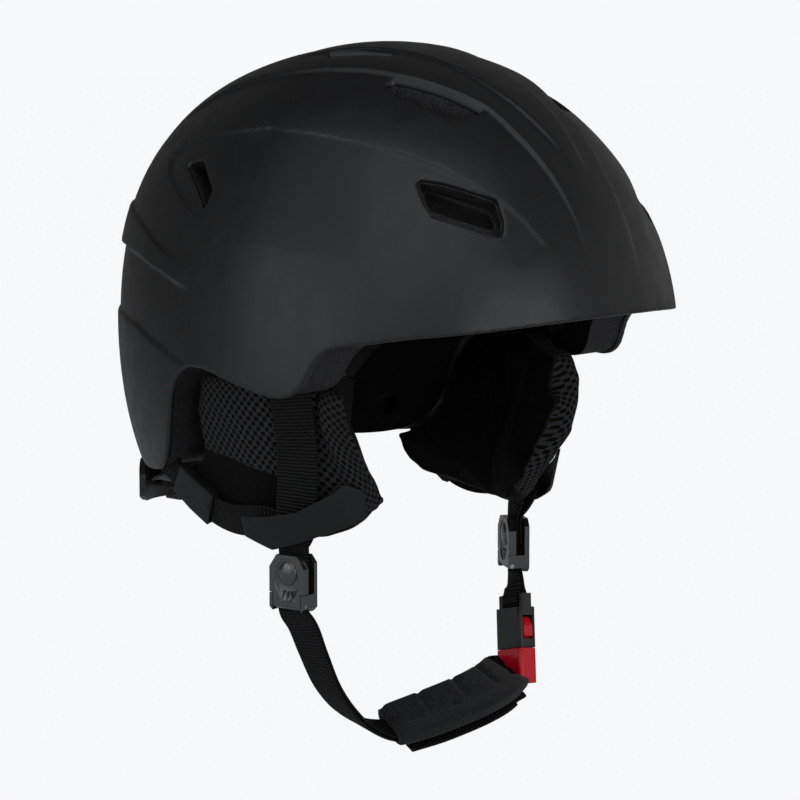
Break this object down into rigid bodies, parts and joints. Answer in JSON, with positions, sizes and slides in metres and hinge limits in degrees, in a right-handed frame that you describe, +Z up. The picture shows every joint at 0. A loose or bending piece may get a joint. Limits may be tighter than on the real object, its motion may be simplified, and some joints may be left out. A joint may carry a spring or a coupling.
{
  "type": "ski helmet",
  "caption": "Matte black in-mould style ski helmet with foam liner, soft ear pads, dial fit band, Y straps with locking dividers and a padded chin strap with side-release buckle.",
  "frame": {"origin": "centre of the wearer's head, midway between the ears' tops (mount head_seat)", "axes": "+Z up through the crown, -Y to the front of the face, -X to the wearer's right"},
  "size_m": [0.2216, 0.2777, 0.3166],
  "materials": {
    "shell_matte_black": "matte",
    "foam_black": "matte",
    "mesh_black": "matte",
    "fleece_black": "matte",
    "webbing_black": "satin",
    "rubber_black": "matte",
    "quilted_black": "matte",
    "gloss_plastic_black": "gloss",
    "plastic_red": "gloss",
    "plastic_black": "satin",
    "steel": "satin"
  },
  "bodies": {
    "helmet": {"brow_pad": "fleece_black", "buckle_female": "gloss_plastic_black", "buckle_male": "plastic_red", "chin_pad": "quilted_black", "chin_pad_flap": "quilted_black", "chin_strap_left": "webbing_black", "chin_strap_right": "webbing_black", "crown_pad": "fleece_black", "dial_cover": "plastic_black", "dial_housing": "plastic_black", "divider_body_left": "gloss_plastic_black", "divider_body_right": "gloss_plastic_black", "divider_pins": "steel", "ear_pad_carrier_left": "plastic_black", "ear_pad_carrier_right": "plastic_black", "ear_pad_cover_left": "mesh_black", "ear_pad_cover_right": "mesh_black", "ear_pad_cushion_left": "fleece_black", "ear_pad_cushion_right": "fleece_black", "ear_pad_studs_left": "plastic_black", "ear_pad_studs_right": "plastic_black", "front_strap_left": "webbing_black", "front_strap_right": "webbing_black", "headband_arm_left": "plastic_black", "headband_arm_right": "plastic_black", "impact_liner": "foam_black", "nape_cradle": "plastic_black", "nape_pad": "fleece_black", "outer_shell": "shell_matte_black", "rear_strap_left": "webbing_black", "rear_strap_right": "webbing_black", "side_pad_left": "fleece_black", "side_pad_right": "fleece_black", "strap_guide_left": "rubber_black", "strap_guide_right": "rubber_black", "strap_rivets": "steel", "strap_sleeve_left": "rubber_black", "strap_sleeve_right": "rubber_black"},
    "dial": {"fit_dial": "plastic_black", "dial_pinion": "plastic_black", "dial_screw": "steel"},
    "band_end_right": {"rack_right": "plastic_black"},
    "band_end_left": {"rack_left": "plastic_black"},
    "lever_right": {"divider_lever_right": "gloss_plastic_black"},
    "lever_left": {"divider_lever_left": "gloss_plastic_black"},
    "prong_front_arm": {"prong_front": "plastic_red"},
    "prong_rear_arm": {"prong_rear": "plastic_red"}
  },
  "joints": [
    {"name": "dial_turn", "type": "hinge", "parent": "helmet", "child": "dial", "pos_m": [0, 0.1289, -0.064], "axis": [0, 1, 0], "range_deg": [0, 170]},
    {"name": "band_slide_right", "type": "slide", "parent": "helmet", "child": "band_end_right", "axis": [1, 0, 0], "range_m": [0, 0.01485]},
    {"name": "band_slide_left", "type": "slide", "parent": "helmet", "child": "band_end_left", "axis": [-1, 0, 0], "range_m": [0, 0.01485]},
    {"name": "divider_lever_right_open", "type": "hinge", "parent": "helmet", "child": "lever_right", "pos_m": [-0.08006, -0.00754, -0.0996], "axis": [0.1392, -0.9903, 0], "range_deg": [0, 75]},
    {"name": "divider_lever_left_open", "type": "hinge", "parent": "helmet", "child": "lever_left", "pos_m": [0.07293, -0.00048, -0.1029], "axis": [-0.5446, -0.8387, 0], "range_deg": [0, 75]},
    {"name": "prong_front_squeeze", "type": "hinge", "parent": "helmet", "child": "prong_front_arm", "pos_m": [0.06495, -0.01864, -0.14141], "axis": [-0.9267, 0.3623, 0.1002], "range_deg": [0, 11], "stiffness_Nm_per_rad": 0.05},
    {"name": "prong_rear_squeeze", "type": "hinge", "parent": "helmet", "child": "prong_rear_arm", "pos_m": [0.07036, -0.0037, -0.14546], "axis": [0.9267, -0.3623, -0.1002], "range_deg": [0, 11], "stiffness_Nm_per_rad": 0.05}
  ],
  "couplings": [
    {"joint": "band_slide_right", "follows": "dial_turn", "m_per_rad": 0.005},
    {"joint": "band_slide_left", "follows": "dial_turn", "m_per_rad": 0.005}
  ]
}
